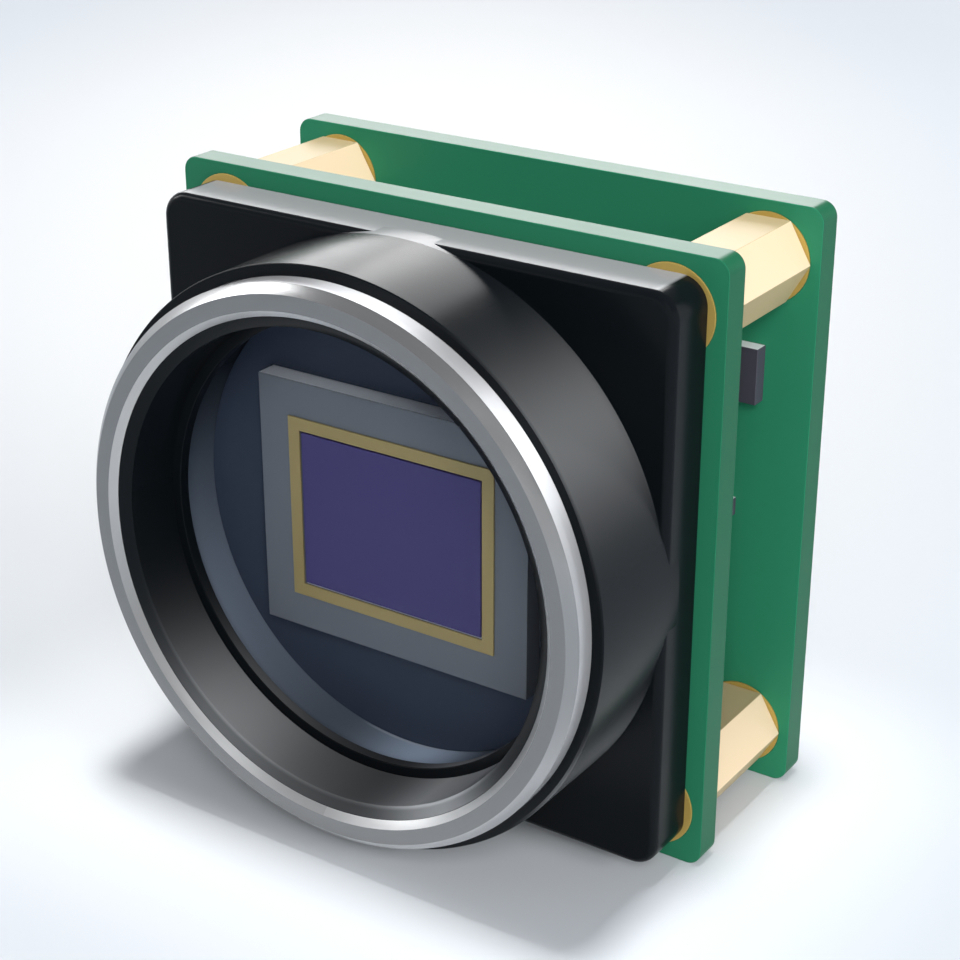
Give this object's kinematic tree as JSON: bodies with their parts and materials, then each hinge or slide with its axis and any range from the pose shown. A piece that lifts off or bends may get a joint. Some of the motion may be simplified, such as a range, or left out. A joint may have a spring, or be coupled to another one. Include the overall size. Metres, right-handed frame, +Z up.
{
  "type": "camera module",
  "caption": "Board-level camera module: screw-in lens holder with metal flange ring, image sensor and filter on two stacked green circuit boards.",
  "frame": {"origin": "centre of the mount ring's front face, on the optical axis", "axes": "-Y towards the scene along the optical axis, +Y back through the boards, +X right, +Z up"},
  "size_m": [0.032, 0.0264, 0.032],
  "materials": {
    "black_plastic": "satin moulded plastic",
    "flange_metal": "turned and satin finished",
    "filter": "polished infrared-cut glass",
    "seal_rubber": "matt rubber",
    "ceramic": "fired ceramic",
    "gold_plating": "thin gold plating",
    "silicon": "coated silicon with a violet sheen",
    "board_green": "green solder mask on glass-fibre laminate",
    "brass_spacer": "machined brass",
    "screw_steel": "zinc plated steel",
    "chip_black": "moulded epoxy",
    "connector_plastic": "moulded high-temperature plastic",
    "header_plastic": "natural moulded plastic",
    "contact_metal": "tin plated",
    "capacitor_ceramic": "fired ceramic",
    "resistor_body": "glazed film on ceramic",
    "ferrite": "sintered ferrite",
    "lid_metal": "seam-welded metal lid"
  },
  "bodies": {
    "root": {"lens_holder": "black_plastic", "mount_ring": "flange_metal", "filter_glass": "filter", "sensor_seal": "seal_rubber", "sensor_package": "ceramic", "sensor_frame": "gold_plating", "sensor_die": "silicon", "sensor_socket": "connector_plastic", "front_board": "board_green", "front_bushes": "gold_plating", "rear_board": "board_green", "rear_bushes": "gold_plating", "spacer_top_left": "brass_spacer", "spacer_top_right": "brass_spacer", "spacer_bottom_left": "brass_spacer", "spacer_bottom_right": "brass_spacer", "rear_screws": "screw_steel", "board_plug": "connector_plastic", "board_receptacle": "connector_plastic", "connector_contacts": "contact_metal", "memory_chip": "chip_black", "logic_chip": "chip_black", "regulator": "chip_black", "frame_memory": "chip_black", "processor": "chip_black", "flash_chip": "chip_black", "flash_legs": "contact_metal", "oscillator": "lid_metal", "power_inductor": "ferrite", "host_header": "header_plastic", "header_pins": "contact_metal", "capacitor_bodies": "capacitor_ceramic", "capacitor_ends": "contact_metal", "resistor_bodies": "resistor_body", "resistor_ends": "contact_metal"}
  },
  "joints": []
}
